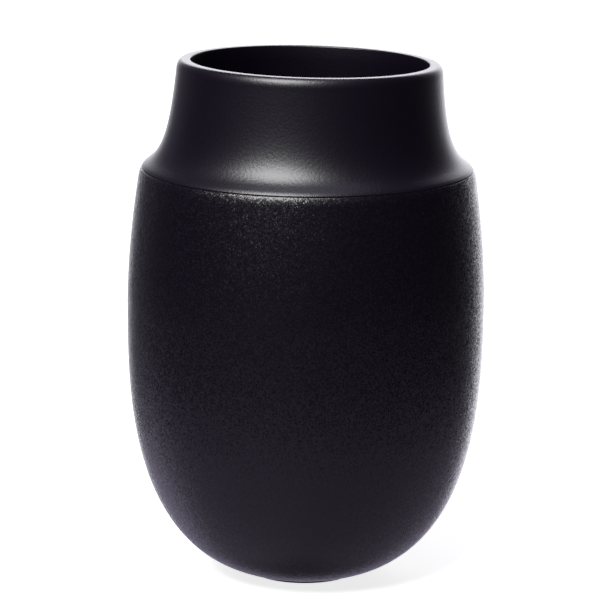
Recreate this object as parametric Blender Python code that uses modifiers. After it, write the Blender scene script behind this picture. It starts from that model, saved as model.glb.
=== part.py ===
"""Empty stoneware candle jar: an egg-shaped body, a flared collar, their joint, a lining and a pad.

Metres, +Z up. The origin is the centre of the pad's underside, on the surface the jar stands on.
Every piece is turned about Z, so each one is an outline in the XZ plane with a Screw modifier.
"""
import math

import bmesh
import bpy

OBJECT_NAME = "candle_jar"

# Body
BELLY_RADIUS = 0.0570        # widest outer radius
BELLY_HEIGHT = 0.0892        # standing surface to the widest place
SHOULDER_HEIGHT = 0.0430     # widest place to the body's rim
RIM_RADIUS = 0.0531          # where the side alone would meet the height of the rim
FOOT_RADIUS = 0.0215         # flat under the body
FOOT_LAND = 0.0032           # bare foot round the pad's recess
FLOOR_RADIUS = 0.0240        # flat inside the body
BOWL_POWER = 2.73            # roundness below the widest place: 2 is an ellipse, more is squarer
SHOULDER_POWER = 1.77        # how late the side turns in above the widest place
BODY_WALL = 0.0048
FLOOR_THICKNESS = 0.0055

# Rounded edge between the side and the flare, two arcs that meet at the joint line
BODY_EDGE_ROUND = 0.0075
COLLAR_EDGE_ROUND = 0.0050
SIDE_ANGLE = math.radians(10)    # slope where the side runs into the lower arc, from upright
JOINT_ANGLE = math.radians(30)   # slope at the joint line
FLARE_ANGLE = math.radians(51)   # slope where the upper arc runs into the flare

# Collar
NECK_HEIGHT = 0.0345         # body's rim to the top of the lip
NECK_RADIUS = 0.0421         # outer radius just under the lip
NECK_WALL = 0.0044
FLARE_LAND = 0.0018          # straight stretch at the foot of the flare
FLARE_TIGHTNESS = 0.0049     # smaller hugs the shoulder, larger spreads the curve up the neck
FLARE_POWER = 1.42           # larger leaves the neck straighter
LIP_ROUND_WIDTH = 0.0020     # the outside of the lip is a quarter of an ellipse
LIP_ROUND_HEIGHT = 0.0040
LIP_INNER_ROUND = 0.0007

# Joint between them
RIM_WALL = 0.0018            # what the rebate leaves of the body's rim
SPIGOT_WALL = 0.0018
SPIGOT_LENGTH = 0.0050
BEAD_THICKNESS = 0.0008
BEAD_INSET = 0.0002          # keeps the bead back from the inside of the wall

# Lining
GLAZE_THICKNESS = 0.0010

# Pad
PAD_THICKNESS = 0.0022
PAD_RECESS = 0.0008          # depth of the recess over the pad, its clearance included
PAD_ROUND = 0.0004

FIT_GAP = 0.0003             # clearance between touching pieces
STEPS = 48                   # facets round each turned piece

RIM_Z = BELLY_HEIGHT + SHOULDER_HEIGHT
TOP_Z = RIM_Z + NECK_HEIGHT
RECESS_TOP_Z = PAD_THICKNESS + FIT_GAP
FOOT_Z = RECESS_TOP_Z - PAD_RECESS
FLOOR_Z = RECESS_TOP_Z + FLOOR_THICKNESS
COLLAR_Z = RIM_Z + FIT_GAP
SPIGOT_END_Z = COLLAR_Z - SPIGOT_LENGTH
BEAD_TOP_Z = SPIGOT_END_Z - FIT_GAP
LEDGE_Z = BEAD_TOP_Z - BEAD_THICKNESS - FIT_GAP
GLAZE_TOP_Z = LEDGE_Z - FIT_GAP
SIDE_END_Z = RIM_Z - BODY_EDGE_ROUND * (math.sin(JOINT_ANGLE) - math.sin(SIDE_ANGLE))
SIDE_SHARE = (SIDE_END_Z - BELLY_HEIGHT) / SHOULDER_HEIGHT
SIDE_END_RADIUS = BELLY_RADIUS - (BELLY_RADIUS - RIM_RADIUS) * SIDE_SHARE ** SHOULDER_POWER
CREASE_RADIUS = SIDE_END_RADIUS - BODY_EDGE_ROUND * (math.cos(SIDE_ANGLE)
                                                     - math.cos(JOINT_ANGLE))
REBATE_RADIUS = CREASE_RADIUS - RIM_WALL
SPIGOT_OUTER = REBATE_RADIUS - FIT_GAP
SPIGOT_INNER = SPIGOT_OUTER - SPIGOT_WALL
CAVITY_RADIUS = BELLY_RADIUS - BODY_WALL
RECESS_RADIUS = FOOT_RADIUS - FOOT_LAND
PAD_RADIUS = RECESS_RADIUS - FIT_GAP


def bowl(radius, bottom_z, flat_radius, count):
    """Rounded bowl from a flat bottom up to the widest place, as (radius, z), bottom first."""
    flat_share = (flat_radius / radius) ** BOWL_POWER
    depth = (BELLY_HEIGHT - bottom_z) / (1 - flat_share) ** (1 / BOWL_POWER)
    last_angle = math.acos((flat_radius / radius) ** (BOWL_POWER / 2))
    points = []
    for i in range(count + 1):
        angle = last_angle * (1 - i / count)
        points.append((radius * math.cos(angle) ** (2 / BOWL_POWER),
                       BELLY_HEIGHT - depth * math.sin(angle) ** (2 / BOWL_POWER)))
    return points


def shoulder(radius, top_radius, top_z, count):
    """Side from the widest place in and up to its top, lowest point first."""
    points = []
    for i in range(1, count + 1):
        share = i / count
        points.append((radius - (radius - top_radius) * share ** SHOULDER_POWER,
                       BELLY_HEIGHT + (top_z - BELLY_HEIGHT) * share))
    return points


def flare(count):
    """Outside of the neck over the rounded edge, straight and then bending up, lowest first."""
    foot_radius, foot_z = rounded_edge(COLLAR_EDGE_ROUND, FLARE_ANGLE, FLARE_ANGLE, 1)[0]
    start_radius = foot_radius - FLARE_LAND * math.sin(FLARE_ANGLE)
    start_z = foot_z + FLARE_LAND * math.cos(FLARE_ANGLE)
    height = TOP_Z - LIP_ROUND_HEIGHT - start_z
    whole = 1 - (1 + height / FLARE_TIGHTNESS) ** (1 - FLARE_POWER)
    points = [(foot_radius, foot_z)]
    for i in range(count + 1):
        rise = height * (i / count) ** 1.6
        part = 1 - (1 + rise / FLARE_TIGHTNESS) ** (1 - FLARE_POWER)
        points.append((start_radius - (start_radius - NECK_RADIUS) * part / whole,
                       start_z + rise))
    return points


def offset(points, distance):
    """The same curve moved sideways by a distance, to the left of its direction."""
    moved = []
    for i, (radius, z) in enumerate(points):
        before = points[max(i - 1, 0)]
        after = points[min(i + 1, len(points) - 1)]
        dr = after[0] - before[0]
        dz = after[1] - before[1]
        length = math.hypot(dr, dz)
        moved.append((radius - distance * dz / length, z + distance * dr / length))
    return moved


def arc(centre_radius, centre_z, radius, start, end, count):
    """Arc in the outline's plane, angles in degrees from outward, turning up."""
    points = []
    for i in range(count + 1):
        angle = math.radians(start + (end - start) * i / count)
        points.append((centre_radius + radius * math.cos(angle),
                       centre_z + radius * math.sin(angle)))
    return points


def rounded_edge(radius, start, end, count):
    """Stretch of the rounded edge between two slopes, lowest point first."""
    return arc(CREASE_RADIUS - radius * math.cos(JOINT_ANGLE),
               RIM_Z - radius * math.sin(JOINT_ANGLE), radius,
               math.degrees(start), math.degrees(end), count)


def lip_outside(count):
    """Outer rounding of the lip, from just over the neck to its top."""
    points = []
    for i in range(1, count + 1):
        angle = math.pi / 2 * i / count
        points.append((NECK_RADIUS - LIP_ROUND_WIDTH * (1 - math.cos(angle)),
                       TOP_Z - LIP_ROUND_HEIGHT * (1 - math.sin(angle))))
    return points


def body_outline():
    """From the centre of the inner floor, over the rim, down the outside to the pad's recess."""
    outline = [(0.0, FLOOR_Z)]
    outline += bowl(CAVITY_RADIUS, FLOOR_Z, FLOOR_RADIUS, 13)
    outline += shoulder(CAVITY_RADIUS, SPIGOT_INNER, LEDGE_Z, 6)
    outline += [(REBATE_RADIUS, LEDGE_Z), (REBATE_RADIUS, RIM_Z)]
    outline += reversed(rounded_edge(BODY_EDGE_ROUND, SIDE_ANGLE, JOINT_ANGLE, 3))
    outline += reversed(shoulder(BELLY_RADIUS, SIDE_END_RADIUS, SIDE_END_Z, 8)[:-1])
    outline += reversed(bowl(BELLY_RADIUS, FOOT_Z, FOOT_RADIUS, 17))
    outline += [(RECESS_RADIUS, FOOT_Z), (RECESS_RADIUS, RECESS_TOP_Z), (0.0, RECESS_TOP_Z)]
    return outline


def collar_outline():
    """Closed ring outline: up the inside, over the lip, down the flare and edge, in and down."""
    outside = flare(13)
    inside = [p for p in offset(outside, NECK_WALL) if p[0] < SPIGOT_INNER]
    mouth_radius = NECK_RADIUS - NECK_WALL
    lowest_angle = math.asin(math.sin(JOINT_ANGLE) + FIT_GAP / COLLAR_EDGE_ROUND)
    outline = [(SPIGOT_INNER, SPIGOT_END_Z), (SPIGOT_INNER, inside[0][1])]
    outline += inside
    outline += reversed(arc(mouth_radius + LIP_INNER_ROUND, TOP_Z - LIP_INNER_ROUND,
                            LIP_INNER_ROUND, 90, 180, 3))
    outline += reversed(lip_outside(5))
    outline += reversed(outside)
    outline += reversed(rounded_edge(COLLAR_EDGE_ROUND, lowest_angle, FLARE_ANGLE, 3)[:-1])
    outline += [(SPIGOT_OUTER, COLLAR_Z), (SPIGOT_OUTER, SPIGOT_END_Z)]
    return outline


def bead_outline():
    """Flat ring between the end of the spigot and the ledge."""
    inner = SPIGOT_INNER + BEAD_INSET
    bottom_z = BEAD_TOP_Z - BEAD_THICKNESS
    return [(inner, bottom_z), (inner, BEAD_TOP_Z), (SPIGOT_OUTER, BEAD_TOP_Z),
            (SPIGOT_OUTER, bottom_z)]


def glaze_outline():
    """Thin lining that follows the inside of the body up to just under the ledge."""
    back = FIT_GAP
    face = FIT_GAP + GLAZE_THICKNESS
    outline = [(0.0, FLOOR_Z + face)]
    outline += bowl(CAVITY_RADIUS - face, FLOOR_Z + face, FLOOR_RADIUS - face, 13)
    outline += shoulder(CAVITY_RADIUS - face, SPIGOT_INNER - face, GLAZE_TOP_Z, 6)
    outline += reversed(shoulder(CAVITY_RADIUS - back, SPIGOT_INNER - back, GLAZE_TOP_Z, 6))
    outline += reversed(bowl(CAVITY_RADIUS - back, FLOOR_Z + back, FLOOR_RADIUS - back, 13))
    outline += [(0.0, FLOOR_Z + back)]
    return outline


def pad_outline():
    """Disc with a rounded lower edge."""
    outline = [(0.0, PAD_THICKNESS), (PAD_RADIUS, PAD_THICKNESS)]
    outline += reversed(arc(PAD_RADIUS - PAD_ROUND, PAD_ROUND, PAD_ROUND, -90, 0, 3))
    outline += [(0.0, 0.0)]
    return outline


def make_material(name, color, roughness):
    material = bpy.data.materials.new(name)
    material.use_nodes = True
    shader = material.node_tree.nodes["Principled BSDF"]
    shader.inputs["Base Color"].default_value = (*color, 1.0)
    shader.inputs["Roughness"].default_value = roughness
    shader.inputs["Metallic"].default_value = 0.0
    material.diffuse_color = (*color, 1.0)
    return material


def turn(name, outline, material, closed, collection):
    """Object with the outline as its mesh and a Screw modifier that turns it round Z."""
    mesh = bpy.data.meshes.new(name)
    shape = bmesh.new()
    corners = [shape.verts.new((radius, 0.0, z)) for radius, z in outline]
    for first, second in zip(corners, corners[1:]):
        shape.edges.new((first, second))
    if closed:
        shape.edges.new((corners[-1], corners[0]))
    shape.to_mesh(mesh)
    shape.free()
    mesh.materials.append(material)
    piece = bpy.data.objects.new(name, mesh)
    collection.objects.link(piece)
    screw = piece.modifiers.new("Turned", "SCREW")
    screw.axis = "Z"
    screw.angle = math.tau
    screw.steps = STEPS
    screw.render_steps = STEPS
    screw.use_smooth_shade = True
    screw.use_merge_vertices = True
    screw.merge_threshold = 0.00001
    return piece


def build():
    for old in list(bpy.data.objects):
        bpy.data.objects.remove(old)
    collection = bpy.data.collections.new(OBJECT_NAME)
    bpy.context.scene.collection.children.link(collection)
    sandy = make_material("sandy_stoneware", (0.011, 0.010, 0.014), 0.62)
    satin = make_material("satin_stoneware", (0.012, 0.011, 0.015), 0.38)
    sealant = make_material("joint_sealant", (0.004, 0.004, 0.005), 0.60)
    glaze = make_material("lining_glaze", (0.010, 0.010, 0.012), 0.25)
    rubber = make_material("pad_rubber", (0.006, 0.006, 0.006), 0.80)
    turn("body_shell", body_outline(), sandy, False, collection)
    turn("neck_collar", collar_outline(), satin, True, collection)
    turn("joint_bead", bead_outline(), sealant, True, collection)
    turn("inner_glaze", glaze_outline(), glaze, False, collection)
    turn("base_pad", pad_outline(), rubber, False, collection)


build()
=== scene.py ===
import math

import bmesh
import bpy
from mathutils import Matrix, Vector


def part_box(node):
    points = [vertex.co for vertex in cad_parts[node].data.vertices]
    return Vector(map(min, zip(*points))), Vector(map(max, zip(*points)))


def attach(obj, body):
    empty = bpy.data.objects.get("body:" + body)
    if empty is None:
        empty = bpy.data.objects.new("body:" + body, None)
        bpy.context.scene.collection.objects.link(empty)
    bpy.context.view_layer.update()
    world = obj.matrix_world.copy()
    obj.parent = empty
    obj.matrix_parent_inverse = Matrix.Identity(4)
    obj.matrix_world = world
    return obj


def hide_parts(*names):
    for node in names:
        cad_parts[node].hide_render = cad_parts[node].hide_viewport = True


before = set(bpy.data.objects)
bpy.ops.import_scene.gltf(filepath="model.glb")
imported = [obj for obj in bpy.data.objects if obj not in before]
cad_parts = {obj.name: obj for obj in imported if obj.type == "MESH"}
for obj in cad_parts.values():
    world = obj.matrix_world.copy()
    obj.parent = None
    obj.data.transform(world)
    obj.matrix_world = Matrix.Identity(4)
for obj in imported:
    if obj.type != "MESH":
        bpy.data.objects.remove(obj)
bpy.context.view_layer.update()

mm = 0.001
touchGap = 0.3 * mm       # left between touching pieces
spigotWall = 1.8 * mm     # the body's cavity narrows to the width inside the collar's spigot
weldDistance = 0.005 * mm
sharpAngle = 50           # degrees, a bend sharper than this stays a crisp edge


def hexToLinear(code):
    # sRGB hex to the linear colour that shaders take
    parts = [int(code[i:i + 2], 16) / 255 for i in (1, 3, 5)]
    linear = [p / 12.92 if p <= 0.04045 else ((p + 0.055) / 1.055) ** 2.4 for p in parts]
    return (*linear, 1.0)


def addNode(tree, kind, inputs=None, **settings):
    # inputs maps a socket's name or number to a value or to another node's output; on a colour
    # mix 0 is the share, 6 and 7 are the two colours, and 2 is the colour that comes out
    node = tree.nodes.new(kind)
    for name, value in settings.items():
        setattr(node, name, value)
    for socket, value in (inputs or {}).items():
        if isinstance(value, bpy.types.NodeSocket):
            tree.links.new(value, node.inputs[socket])
        else:
            node.inputs[socket].default_value = value
    return node


def newMaterial(name):
    material = bpy.data.materials.new(name)
    material.use_nodes = True
    material.node_tree.nodes.clear()
    return material, material.node_tree


def arcPoints(centreR, centreZ, radius, start, end, count):
    # outlines are lists of radius and height; angles in degrees, 0 outward and 90 up
    angles = [math.radians(start + (end - start) * i / count) for i in range(count + 1)]
    return [(centreR + radius * math.cos(a), centreZ + radius * math.sin(a)) for a in angles]


def evenly(points, spacing):
    # the same line with points a given distance apart
    lengths = [0.0]
    for a, b in zip(points, points[1:]):
        lengths.append(lengths[-1] + math.dist(a, b))
    count = max(1, round(lengths[-1] / spacing))
    spaced, at = [], 0
    for i in range(count + 1):
        target = lengths[-1] * i / count
        while at < len(points) - 2 and lengths[at + 1] < target:
            at += 1
        share = (target - lengths[at]) / max(lengths[at + 1] - lengths[at], 1e-12)
        a, b = points[at], points[at + 1]
        spaced.append((a[0] + (b[0] - a[0]) * share, a[1] + (b[1] - a[1]) * share))
    return spaced


def selectOnly(piece):
    bpy.ops.object.select_all(action="DESELECT")
    piece.select_set(True)
    bpy.context.view_layer.objects.active = piece


def turnOnWheel(name, outline, steps, ring):
    # one point is pulled along the outline, then the line is spun round the jar's axis; a ring's
    # outline is closed first, any other one starts and ends on the axis
    bpy.ops.object.select_all(action="DESELECT")
    bpy.ops.mesh.primitive_plane_add(size=mm, location=(0, 0, 0))
    piece = bpy.context.active_object
    piece.name = piece.data.name = name
    bpy.ops.object.mode_set(mode="EDIT")
    bpy.ops.mesh.select_all(action="SELECT")
    bpy.ops.mesh.merge(type="CENTER")
    bpy.ops.transform.translate(value=(outline[0][0], 0, outline[0][1]))
    for before, after in zip(outline, outline[1:]):
        step = (after[0] - before[0], 0, after[1] - before[1])
        bpy.ops.mesh.extrude_region_move(TRANSFORM_OT_translate={"value": step})
    if ring:
        shape = bmesh.from_edit_mesh(piece.data)
        shape.verts.ensure_lookup_table()
        loose = [v for v in shape.verts if len(v.link_edges) == 1]
        bpy.ops.mesh.select_all(action="DESELECT")
        for v in loose:
            v.select_set(True)
        shape.select_flush_mode()
        bpy.ops.mesh.edge_face_add()
    bpy.ops.mesh.select_all(action="SELECT")
    bpy.ops.mesh.spin(steps=steps, angle=math.tau, center=(0, 0, 0), axis=(0, 0, 1))
    bpy.ops.mesh.select_all(action="SELECT")
    bpy.ops.mesh.remove_doubles(threshold=weldDistance)
    bpy.ops.mesh.normals_make_consistent(inside=False)
    bpy.ops.object.mode_set(mode="OBJECT")
    bpy.ops.object.shade_smooth_by_angle(angle=math.radians(sharpAngle))
    return piece


def applyModifiers(piece):
    selectOnly(piece)
    for modifier in list(piece.modifiers):
        bpy.ops.object.modifier_apply(modifier=modifier.name)


def finishPiece(piece, material, replaced=None):
    piece.data.materials.clear()
    piece.data.materials.append(material)
    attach(piece, "root")
    if replaced:
        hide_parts(replaced)
    print("made", piece.name, len(piece.data.vertices), "vertices")


camera = {
    "distance": 1.0,
    "elevation": 12.62,     # degrees above the table
    "roll": 0.676,          # the jar stands with its top a touch to the right
    "aimHeight": 87.4 * mm,
    "lens": 184.5,
    "sensor": 36,
    "shiftX": -0.0013,
    "near": 0.05,
    "far": 50,
}


def placeCamera(c):
    e = math.radians(c["elevation"])
    data = bpy.data.cameras.new("studioCamera")
    data.lens = c["lens"]
    data.sensor_width = c["sensor"]
    data.shift_x = c["shiftX"]
    data.clip_start = c["near"]
    data.clip_end = c["far"]
    eye = Vector((0, -c["distance"] * math.cos(e), c["aimHeight"] + c["distance"] * math.sin(e)))
    look = Vector((0, 0, c["aimHeight"])) - eye
    roll = Matrix.Rotation(math.radians(c["roll"]), 3, "Z")
    turn = look.to_track_quat("-Z", "Y").to_matrix() @ roll
    item = bpy.data.objects.new("studioCamera", data)
    bpy.context.scene.collection.objects.link(item)
    item.matrix_world = Matrix.Translation(eye) @ turn.to_4x4()
    bpy.context.scene.camera = item


placeCamera(camera)
print("camera placed")


def makeSandyStoneware():
    # black stoneware with fine sand in the clay, fired bare: a dry satin skin full of small
    # grains, each with its own shade and tipped its own way, so the light breaks up into fine
    # sparkle; the grains are drawn at 0.36 mm, coarser than the real sand, so that they show
    material, tree = newMaterial("sandyStoneware")
    place = addNode(tree, "ShaderNodeTexCoord").outputs["Object"]
    grains = addNode(tree, "ShaderNodeTexVoronoi",
                     {"Vector": place, "Scale": 1 / (0.36 * mm)}, feature="F1").outputs
    silt = addNode(tree, "ShaderNodeTexNoise",
                   {"Vector": place, "Scale": 1 / (0.9 * mm), "Detail": 3.0,
                    "Roughness": 0.6}).outputs["Fac"]
    cloud = addNode(tree, "ShaderNodeTexNoise",
                    {"Vector": place, "Scale": 1 / (28 * mm), "Detail": 2.0}).outputs["Fac"]
    tone = addNode(tree, "ShaderNodeMix",
                   {0: cloud, 6: hexToLinear("#05020a"), 7: hexToLinear("#06030c")},
                   data_type="RGBA").outputs[2]
    chance = addNode(tree, "ShaderNodeSeparateColor", {0: grains["Color"]}).outputs
    # four grains in ten are paler than the clay, each by its own amount
    paleGrain = addNode(tree, "ShaderNodeMapRange",
                        {"Value": chance[0], "From Min": 0.6, "From Max": 1.0}).outputs[0]
    colour = addNode(tree, "ShaderNodeMix",
                     {0: paleGrain, 6: tone, 7: hexToLinear("#15101a")},
                     data_type="RGBA").outputs[2]
    rough = addNode(tree, "ShaderNodeMapRange",
                    {"Value": silt, "To Min": 0.27, "To Max": 0.35}).outputs[0]
    lean = addNode(tree, "ShaderNodeVectorMath", {0: grains["Color"], 1: (0.5, 0.5, 0.5)},
                   operation="SUBTRACT").outputs[0]
    # half the grains lie nearly flat, the others stand up more and more and flash
    steep = addNode(tree, "ShaderNodeMapRange",
                    {"Value": chance[2], "From Min": 0.5, "To Min": 0.18, "To Max": 0.30}).outputs[0]
    tilt = addNode(tree, "ShaderNodeVectorMath", {0: lean, "Scale": steep},
                   operation="SCALE").outputs[0]
    siltBump = addNode(tree, "ShaderNodeBump",
                       {"Height": silt, "Strength": 0.5, "Distance": 0.06 * mm}).outputs[0]
    tipped = addNode(tree, "ShaderNodeVectorMath", {0: siltBump, 1: tilt},
                     operation="ADD").outputs[0]
    normal = addNode(tree, "ShaderNodeVectorMath", {0: tipped}, operation="NORMALIZE").outputs[0]
    shader = addNode(tree, "ShaderNodeBsdfPrincipled",
                     {"Base Color": colour, "Roughness": rough, "IOR": 1.5,
                      "Normal": normal})
    addNode(tree, "ShaderNodeOutputMaterial", {"Surface": shader.outputs[0]})
    return material


def makeSatinGlaze():
    # black satin glaze over the same clay: smooth to the touch, with a soft wide shine
    material, tree = newMaterial("satinGlaze")
    place = addNode(tree, "ShaderNodeTexCoord").outputs["Object"]
    fine = addNode(tree, "ShaderNodeTexNoise",
                   {"Vector": place, "Scale": 1 / (0.9 * mm), "Detail": 2.0}).outputs["Fac"]
    cloud = addNode(tree, "ShaderNodeTexNoise",
                    {"Vector": place, "Scale": 1 / (22 * mm), "Detail": 2.0}).outputs["Fac"]
    colour = addNode(tree, "ShaderNodeMix",
                     {0: cloud, 6: hexToLinear("#08040f"), 7: hexToLinear("#090511")},
                     data_type="RGBA").outputs[2]
    rough = addNode(tree, "ShaderNodeMapRange",
                    {"Value": fine, "To Min": 0.33, "To Max": 0.375}).outputs[0]
    skin = addNode(tree, "ShaderNodeBump",
                   {"Height": fine, "Strength": 0.5, "Distance": 0.09 * mm}).outputs[0]
    shader = addNode(tree, "ShaderNodeBsdfPrincipled",
                     {"Base Color": colour, "Roughness": rough, "IOR": 1.5, "Normal": skin})
    addNode(tree, "ShaderNodeOutputMaterial", {"Surface": shader.outputs[0]})
    return material


def makeLiningGlaze():
    # the same glaze poured inside, a little shinier where it pooled
    material, tree = newMaterial("liningGlaze")
    place = addNode(tree, "ShaderNodeTexCoord").outputs["Object"]
    wave = addNode(tree, "ShaderNodeTexNoise",
                   {"Vector": place, "Scale": 1 / (12 * mm), "Detail": 2.0}).outputs["Fac"]
    colour = addNode(tree, "ShaderNodeMix",
                     {0: wave, 6: hexToLinear("#090410"), 7: hexToLinear("#0b0512")},
                     data_type="RGBA").outputs[2]
    rough = addNode(tree, "ShaderNodeMapRange",
                    {"Value": wave, "To Min": 0.28, "To Max": 0.36}).outputs[0]
    skin = addNode(tree, "ShaderNodeBump",
                   {"Height": wave, "Strength": 0.2, "Distance": 0.2 * mm}).outputs[0]
    shader = addNode(tree, "ShaderNodeBsdfPrincipled",
                     {"Base Color": colour, "Roughness": rough, "IOR": 1.5, "Normal": skin})
    addNode(tree, "ShaderNodeOutputMaterial", {"Surface": shader.outputs[0]})
    return material


def makeBlackRubber():
    # black silicone rubber, moulded: dead matte, with a faint dusty bloom
    material, tree = newMaterial("blackRubber")
    place = addNode(tree, "ShaderNodeTexCoord").outputs["Object"]
    bloom = addNode(tree, "ShaderNodeTexNoise",
                    {"Vector": place, "Scale": 1 / (3 * mm), "Detail": 3.0}).outputs["Fac"]
    colour = addNode(tree, "ShaderNodeMix",
                     {0: bloom, 6: hexToLinear("#060606"), 7: hexToLinear("#0d0d0e")},
                     data_type="RGBA").outputs[2]
    skin = addNode(tree, "ShaderNodeBump",
                   {"Height": bloom, "Strength": 0.3, "Distance": 0.05 * mm}).outputs[0]
    shader = addNode(tree, "ShaderNodeBsdfPrincipled",
                     {"Base Color": colour, "Roughness": 0.75, "IOR": 1.4, "Normal": skin})
    addNode(tree, "ShaderNodeOutputMaterial", {"Surface": shader.outputs[0]})
    return material


def makeSealant():
    # black silicone sealant, squeezed in as a bead: darker and a little wetter than rubber
    material, tree = newMaterial("jointSealant")
    place = addNode(tree, "ShaderNodeTexCoord").outputs["Object"]
    ripple = addNode(tree, "ShaderNodeTexNoise",
                     {"Vector": place, "Scale": 1 / (2 * mm), "Detail": 2.0}).outputs["Fac"]
    colour = addNode(tree, "ShaderNodeMix",
                     {0: ripple, 6: hexToLinear("#040404"), 7: hexToLinear("#080809")},
                     data_type="RGBA").outputs[2]
    skin = addNode(tree, "ShaderNodeBump",
                   {"Height": ripple, "Strength": 0.3, "Distance": 0.1 * mm}).outputs[0]
    shader = addNode(tree, "ShaderNodeBsdfPrincipled",
                     {"Base Color": colour, "Roughness": 0.5, "IOR": 1.43, "Normal": skin})
    addNode(tree, "ShaderNodeOutputMaterial", {"Surface": shader.outputs[0]})
    return material


sandyStoneware = makeSandyStoneware()
satinGlaze = makeSatinGlaze()
liningGlaze = makeLiningGlaze()
blackRubber = makeBlackRubber()
jointSealant = makeSealant()
print("materials ready")


body = {
    "bellyHeight": 89.2 * mm,    # widest place over the table
    "rimRadius": 53.1 * mm,      # where the side alone would meet the rim's height
    "footRadius": 21.5 * mm,
    "floorRadius": 24.0 * mm,
    "bowlPower": 2.73,           # roundness under the widest place
    "shoulderPower": 1.77,       # how late the side turns in over it
    "spacing": 0.85 * mm,        # mesh on the sandy outside
    "steps": 400,
    "relief": 0.05 * mm,         # unevenness of the cast surface
    "reliefSize": 1.6 * mm,
    "reliefStart": 0.2 * mm,     # plain strip under the joint line
    "reliefFade": 1.0 * mm,      # over which the unevenness comes in
    "reliefFoot": 1.0 * mm,      # plain strip round the pad's recess
    "reliefFacing": 0.05,        # how much a face looks outward to count as outside
}


def bowlPoints(radius, bottomZ, flatRadius, count):
    # from the flat of the bottom up to the widest place, a quarter of a squarish ellipse
    power = body["bowlPower"]
    depth = (body["bellyHeight"] - bottomZ) / (1 - (flatRadius / radius) ** power) ** (1 / power)
    last = math.acos((flatRadius / radius) ** (power / 2))
    angles = [last * (1 - i / count) for i in range(count + 1)]
    return [(radius * math.cos(a) ** (2 / power),
             body["bellyHeight"] - depth * math.sin(a) ** (2 / power)) for a in angles]


def sidePoints(radius, topRadius, topZ, count):
    # from the widest place up, without the widest place itself
    shares = [i / count for i in range(1, count + 1)]
    return [(radius - (radius - topRadius) * s ** body["shoulderPower"],
             body["bellyHeight"] + (topZ - body["bellyHeight"]) * s) for s in shares]


# the rounded edge is two arcs, one on the body and one on the collar, that meet at the joint line
edge = {
    "bodyRound": 7.5 * mm,
    "collarRound": 5.0 * mm,
    "sideAngle": 10.0,           # slope where the side runs into it
    "jointAngle": 30.0,          # slope at the joint line
    "flareAngle": 51.0,          # slope where it runs into the neck
    "lineGap": 0.08 * mm,        # what is left open between body and collar
    "bodySoften": 0.16 * mm,     # rounding of the two edges at the line
    "collarSoften": 0.28 * mm,
}


def creasePoint():
    # where both arcs meet, worked out from the side of the body
    rimZ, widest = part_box("body_shell")[1].z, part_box("body_shell")[1].x
    side, joint = math.radians(edge["sideAngle"]), math.radians(edge["jointAngle"])
    endZ = rimZ - edge["bodyRound"] * (math.sin(joint) - math.sin(side))
    share = (endZ - body["bellyHeight"]) / (rimZ - body["bellyHeight"])
    endR = widest - (widest - body["rimRadius"]) * share ** body["shoulderPower"]
    return endR - edge["bodyRound"] * (math.cos(side) - math.cos(joint)), rimZ


def edgeCentre(radius):
    joint = math.radians(edge["jointAngle"])
    creaseR, creaseZ = creasePoint()
    return creaseR - radius * math.cos(joint), creaseZ - radius * math.sin(joint)


def edgeAngle(radius, z):
    # slope of the arc at a height
    return math.degrees(math.asin((z - edgeCentre(radius)[1]) / radius))


def makeBody():
    low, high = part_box("body_shell")
    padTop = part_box("base_pad")[1]
    beadLow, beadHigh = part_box("joint_bead")
    liningLow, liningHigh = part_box("inner_glaze")
    ledgeZ = beadLow.z - touchGap
    rebateR = beadHigh.x + touchGap
    cavityR = liningHigh.x + touchGap
    floorZ = liningLow.z - touchGap
    recessTop = padTop.z + touchGap
    recessR = padTop.x + touchGap
    inside = bowlPoints(cavityR, floorZ, body["floorRadius"], count=14)
    inside += sidePoints(cavityR, beadHigh.x - spigotWall, ledgeZ, count=6)
    # the rounded edge stops just short of the rim's height and is softened into its flat top
    bend, soft = edge["bodyRound"], edge["bodySoften"]
    topAngle = edgeAngle(bend, high.z - soft)
    corner = arcPoints(*edgeCentre(bend), bend, edge["sideAngle"], topAngle, count=16)
    softR = corner[-1][0] - soft * math.cos(math.radians(topAngle))
    softZ = high.z - soft - soft * math.sin(math.radians(topAngle))
    softEdge = arcPoints(softR, softZ, soft, topAngle, 90, count=4)[1:]
    outside = bowlPoints(high.x, low.z, body["footRadius"], count=90)
    outside += sidePoints(high.x, *corner[0], count=60)
    outside = evenly(outside + corner[1:], body["spacing"])
    outline = [(0, floorZ)] + inside + [(rebateR, ledgeZ), (rebateR, softEdge[-1][1])]
    outline += reversed(softEdge)
    outline += reversed(outside)
    outline += [(recessR, low.z), (recessR, recessTop), (0, recessTop)]
    shell = turnOnWheel("bodyShell", outline, body["steps"], False)
    # the mould's skin is only on faces that look away from the axis, and fades out at the joint
    skin = shell.vertex_groups.new(name="outside")
    for v in shell.data.vertices:
        r = math.hypot(v.co.x, v.co.y)
        outward = (v.normal.x * v.co.x + v.normal.y * v.co.y) / max(r, mm)
        share = min(1.0, (high.z - body["reliefStart"] - v.co.z) / body["reliefFade"])
        if outward > body["reliefFacing"] and share > 0 and r > recessR + body["reliefFoot"]:
            skin.add([v.index], share, "REPLACE")
    grit = bpy.data.textures.new("castSkin", "CLOUDS")
    grit.noise_scale = body["reliefSize"]
    grit.noise_depth = 2
    uneven = shell.modifiers.new("castSkin", "DISPLACE")
    uneven.texture = grit
    uneven.texture_coords = "LOCAL"
    uneven.vertex_group = "outside"
    uneven.strength = body["relief"]
    uneven.mid_level = 1.0
    applyModifiers(shell)
    return shell


finishPiece(makeBody(), sandyStoneware, "body_shell")


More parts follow.
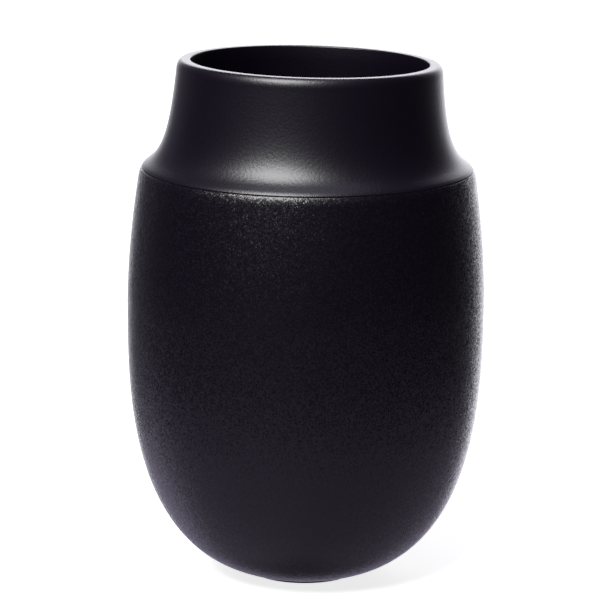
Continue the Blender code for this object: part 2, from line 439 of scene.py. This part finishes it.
collar = {
    "neckRadius": 42.1 * mm,
    "wall": 4.4 * mm,
    "land": 1.8 * mm,            # straight stretch at the foot of the flare
    "tightness": 4.9 * mm,       # the smaller, the sooner the flare turns upright
    "power": 1.42,               # the smaller, the longer it keeps narrowing
    "crowding": 1.6,             # closer points where the flare bends most
    "lipWide": 1.9 * mm,         # the outside of the lip is a quarter of an ellipse
    "lipTall": 3.5 * mm,
    "lipStart": 10,              # degrees, where that quarter runs into the neck
    "lipInner": 0.45 * mm,       # small rounding of the inner edge
    "dipRight": 0.85,            # degrees that the lip is out of level, as cast
    "dipBack": 0.60,
    "dipReach": 33 * mm,         # how far down the neck the dip fades out
    "steps": 320,
}


def flarePoints(foot, endZ, count):
    # the waist: it leaves the rounded edge at its slope and bends up into the neck
    c = collar
    turned = math.radians(edge["flareAngle"])
    startR = foot[0] - c["land"] * math.sin(turned)
    startZ = foot[1] + c["land"] * math.cos(turned)
    whole = 1 - (1 + (endZ - startZ) / c["tightness"]) ** (1 - c["power"])
    points = [foot, ((foot[0] + startR) / 2, (foot[1] + startZ) / 2)]
    for i in range(count + 1):
        rise = (endZ - startZ) * (i / count) ** c["crowding"]
        part = 1 - (1 + rise / c["tightness"]) ** (1 - c["power"])
        points.append((startR - (startR - c["neckRadius"]) * part / whole, startZ + rise))
    return points


def lipPoints(topZ, count):
    c = collar
    first = c["lipStart"]
    angles = [math.radians(first + (90 - first) * i / count) for i in range(count + 1)]
    return [(c["neckRadius"] - c["lipWide"] * (1 - math.cos(a)),
             topZ - c["lipTall"] * (1 - math.sin(a))) for a in angles]


def sideways(points, distance):
    # the same line moved over by a wall's thickness, towards the axis
    moved = []
    for i, (r, z) in enumerate(points):
        a, b = points[max(i - 1, 0)], points[min(i + 1, len(points) - 1)]
        dr, dz = b[0] - a[0], b[1] - a[1]
        length = math.hypot(dr, dz)
        moved.append((r - distance * dz / length, z + distance * dr / length))
    return moved


def makeCollar():
    c = collar
    low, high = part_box("neck_collar")
    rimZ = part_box("body_shell")[1].z
    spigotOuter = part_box("joint_bead")[1].x
    spigotInner = spigotOuter - spigotWall
    # the rounded edge starts just over the joint line, softened into the flat underside
    bend, soft = edge["collarRound"], edge["collarSoften"]
    lowAngle = edgeAngle(bend, rimZ + edge["lineGap"] + soft)
    corner = arcPoints(*edgeCentre(bend), bend, lowAngle, edge["flareAngle"], count=12)
    softR = corner[0][0] - soft * math.cos(math.radians(lowAngle))
    softZ = corner[0][1] - soft * math.sin(math.radians(lowAngle))
    softEdge = arcPoints(softR, softZ, soft, -90, lowAngle, count=5)
    outside = flarePoints(corner[-1], high.z - c["lipTall"], count=60)
    inside = [p for p in sideways(outside, c["wall"]) if p[0] < spigotInner]
    inner = c["lipInner"]
    innerR = c["neckRadius"] - c["wall"] + inner
    outline = [(spigotInner, low.z), (spigotInner, inside[0][1])]
    outline += inside
    outline += reversed(arcPoints(innerR, high.z - inner, inner, 90, 180, count=8))
    outline += reversed(lipPoints(high.z, count=16))
    outline += reversed(corner + outside[1:])
    outline += reversed(softEdge[:-1])
    outline += [(spigotOuter, softEdge[0][1]), (spigotOuter, low.z)]
    shell = turnOnWheel("neckCollar", outline, c["steps"], True)
    tipLip(shell, high.z)
    return shell


def tipLip(shell, topZ):
    # the neck leans a little, so the lip dips to the right and the back; less and less further down
    c = collar
    selectOnly(shell)
    bpy.ops.object.mode_set(mode="EDIT")
    bpy.ops.mesh.select_all(action="DESELECT")
    shape = bmesh.from_edit_mesh(shell.data)
    for v in shape.verts:
        v.select_set(v.co.z > topZ - c["lipTall"])
    shape.select_flush_mode()
    # turned about points at the foot of the neck, under the place of the lip that stays highest,
    # so that this place keeps its height
    direction = math.atan2(c["dipBack"], c["dipRight"])
    ringR = c["neckRadius"] - c["lipWide"]
    footZ = topZ - c["dipReach"]
    toRight = ("Y", -c["dipRight"], (-ringR * math.cos(direction), 0, footZ))
    toBack = ("X", c["dipBack"], (0, -ringR * math.sin(direction), footZ))
    for axis, angle, pivot in (toRight, toBack):
        bpy.ops.transform.rotate(value=math.radians(angle), orient_axis=axis,
                                 center_override=pivot, use_proportional_edit=True,
                                 proportional_edit_falloff="LINEAR",
                                 proportional_size=c["dipReach"])
    bpy.ops.object.mode_set(mode="OBJECT")


finishPiece(makeCollar(), satinGlaze, "neck_collar")


lining = {
    "thick": 1.0 * mm,
    "steps": 200,
}


def makeLining():
    low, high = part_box("inner_glaze")
    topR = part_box("joint_bead")[1].x - spigotWall - touchGap
    t = lining["thick"]
    flat = body["floorRadius"] - touchGap
    outline = [(0, low.z + t)]
    outline += bowlPoints(high.x - t, low.z + t, flat - t, count=40)
    outline += sidePoints(high.x - t, topR - t, high.z, count=14)
    outline += reversed(sidePoints(high.x, topR, high.z, count=14))
    outline += reversed(bowlPoints(high.x, low.z, flat, count=40))
    outline += [(0, low.z)]
    return turnOnWheel("innerGlaze", outline, lining["steps"], False)


finishPiece(makeLining(), liningGlaze, "inner_glaze")


pad = {
    "round": 0.4 * mm,           # bottom edge
    "bevel": 0.2 * mm,           # top edge
    "steps": 160,
}


def makePad():
    low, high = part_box("base_pad")
    r, bevel = pad["round"], pad["bevel"]
    outline = [(0, high.z), (high.x - bevel, high.z), (high.x, high.z - bevel)]
    outline += reversed(arcPoints(high.x - r, low.z + r, r, -90, 0, count=6))
    outline += [(0, low.z)]
    return turnOnWheel("basePad", outline, pad["steps"], False)


finishPiece(makePad(), blackRubber, "base_pad")


# the bead is hidden between body and collar, so the plain one stays and only gets its material
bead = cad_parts["joint_bead"]
bead.data.materials.clear()
bead.data.materials.append(jointSealant)
print("dressed", bead.name)


studio = {
    "floorHalf": 6.0,
    "keyAzimuth": -30.0,      # to the left of the camera
    "keyElevation": 51.0,
    "keyDistance": 1.1,
    "keyAimHeight": 0.12,
    "keySize": 0.78,
    "keyPower": 24.2,
    "floorGlow": 0.80,        # keeps the sweep near white, as seen from the camera
}


def makeFloor():
    bpy.ops.object.select_all(action="DESELECT")
    bpy.ops.mesh.primitive_plane_add(size=2 * studio["floorHalf"], location=(0, 0, 0))
    floor = bpy.context.active_object
    floor.name = "studioFloor"
    material, tree = newMaterial("whiteSweep")
    shader = addNode(tree, "ShaderNodeBsdfPrincipled",
                     {"Base Color": hexToLinear("#f0f0f0"), "Roughness": 0.9,
                      "Emission Color": (1, 1, 1, 1), "Emission Strength": studio["floorGlow"]})
    addNode(tree, "ShaderNodeOutputMaterial", {"Surface": shader.outputs[0]})
    floor.data.materials.append(material)
    floor.visible_glossy = False
    floor.visible_diffuse = False


def makeKey():
    s = studio
    az, el = math.radians(s["keyAzimuth"]), math.radians(s["keyElevation"])
    towards = Vector((math.sin(az) * math.cos(el), -math.cos(az) * math.cos(el), math.sin(el)))
    lamp = bpy.data.lights.new("keySoftbox", "AREA")
    lamp.shape = "DISK"
    lamp.size = s["keySize"]
    lamp.energy = s["keyPower"]
    item = bpy.data.objects.new("keySoftbox", lamp)
    bpy.context.scene.collection.objects.link(item)
    item.location = towards * s["keyDistance"] + Vector((0, 0, s["keyAimHeight"]))
    item.rotation_euler = (-towards).to_track_quat("-Z", "Y").to_euler()


roomBlur = 5              # degrees, softness of each part's upper and lower edge
lampTint = (1, 1, 1.06)
wallTint = (1.03, 0.98, 1.2)
darkTint = (1.05, 0.98, 1.2)
tableTint = (1.08, 0.97, 1.32)

# what the jar mirrors, by direction in degrees: azimuth 0 is towards the camera and 90 is
# right, elevation 90 is straight up
room = [
    {"name": "wallBehind", "azimuth": 175, "half": 23, "soft": 11, "low": -22, "high": 32,
     "level": 3.0, "tint": lampTint},
    {"name": "wallSides", "azimuth": 180, "half": 50, "soft": 22, "low": -22, "high": 32,
     "level": 0.16, "tint": wallTint},
    {"name": "tableLeft", "azimuth": -70, "half": 70, "soft": 30, "low": -95, "high": -20,
     "level": 0.38, "tint": tableTint},
    {"name": "tableRight", "azimuth": 70, "half": 70, "soft": 30, "low": -95, "high": -20,
     "level": 0.31, "tint": tableTint},
    {"name": "tableBehind", "azimuth": -168, "half": 50, "soft": 25, "low": -44, "high": -20,
     "level": 0.46, "tint": tableTint},
    {"name": "tableUnder", "azimuth": 180, "half": 50, "soft": 25, "low": -95, "high": -44,
     "level": 0.1, "tint": tableTint},
    {"name": "ceiling", "azimuth": 0, "half": 220, "soft": 10, "low": 70, "high": 95,
     "level": 0.76, "tint": wallTint},
    {"name": "roomLeft", "azimuth": -80, "half": 70, "soft": 35, "low": -20, "high": 70,
     "level": 0.038, "tint": darkTint},
    {"name": "roomRight", "azimuth": 80, "half": 70, "soft": 35, "low": -20, "high": 70,
     "level": 0.03, "tint": darkTint},
]


def makeRoom():
    world = bpy.data.worlds.new("studioRoom")
    world.use_nodes = True
    tree = world.node_tree
    tree.nodes.clear()
    way = addNode(tree, "ShaderNodeTexCoord").outputs["Generated"]
    axes = addNode(tree, "ShaderNodeSeparateXYZ", {0: way}).outputs

    def work(operation, *values):
        return addNode(tree, "ShaderNodeMath", dict(enumerate(values)), operation=operation).outputs[0]

    def step(value, start, end):
        # 0 before start and 1 after end, or the other way round when start is the larger
        low, high = min(start, end), max(start, end)
        return addNode(tree, "ShaderNodeMapRange",
                       {"Value": value, "From Min": low, "From Max": high,
                        "To Min": float(start > end), "To Max": float(end > start)},
                       interpolation_type="SMOOTHSTEP").outputs[0]

    azimuth = work("DEGREES", work("ARCTAN2", axes[0], work("MULTIPLY", axes[1], -1.0)))
    elevation = work("DEGREES", work("ARCSINE", axes[2]))
    total = None
    for part in room:
        turn = work("WRAP", work("SUBTRACT", azimuth, part["azimuth"]), 180.0, -180.0)
        across = step(work("ABSOLUTE", turn), part["half"] + part["soft"], part["half"] - part["soft"])
        up = work("MULTIPLY", step(elevation, part["low"] - roomBlur, part["low"] + roomBlur),
                  step(elevation, part["high"] + roomBlur, part["high"] - roomBlur))
        amount = work("MULTIPLY", work("MULTIPLY", across, up), part["level"])
        amount.node.name = part["name"]
        glow = addNode(tree, "ShaderNodeVectorMath", {0: part["tint"], "Scale": amount},
                       operation="SCALE").outputs[0]
        if total is not None:
            glow = addNode(tree, "ShaderNodeVectorMath", {0: total, 1: glow}, operation="ADD").outputs[0]
        total = glow
    mirrored = addNode(tree, "ShaderNodeBackground", {"Color": total, "Strength": 1.0}).outputs[0]
    seen = addNode(tree, "ShaderNodeBackground", {"Color": (1, 1, 1, 1), "Strength": 1.0}).outputs[0]
    isCamera = addNode(tree, "ShaderNodeLightPath").outputs["Is Camera Ray"]
    both = addNode(tree, "ShaderNodeMixShader", {0: isCamera, 1: mirrored, 2: seen}).outputs[0]
    addNode(tree, "ShaderNodeOutputWorld", {"Surface": both})
    bpy.context.scene.world = world


makeFloor()
makeKey()
makeRoom()
bpy.context.scene.view_settings.view_transform = "Standard"
print("studio ready")
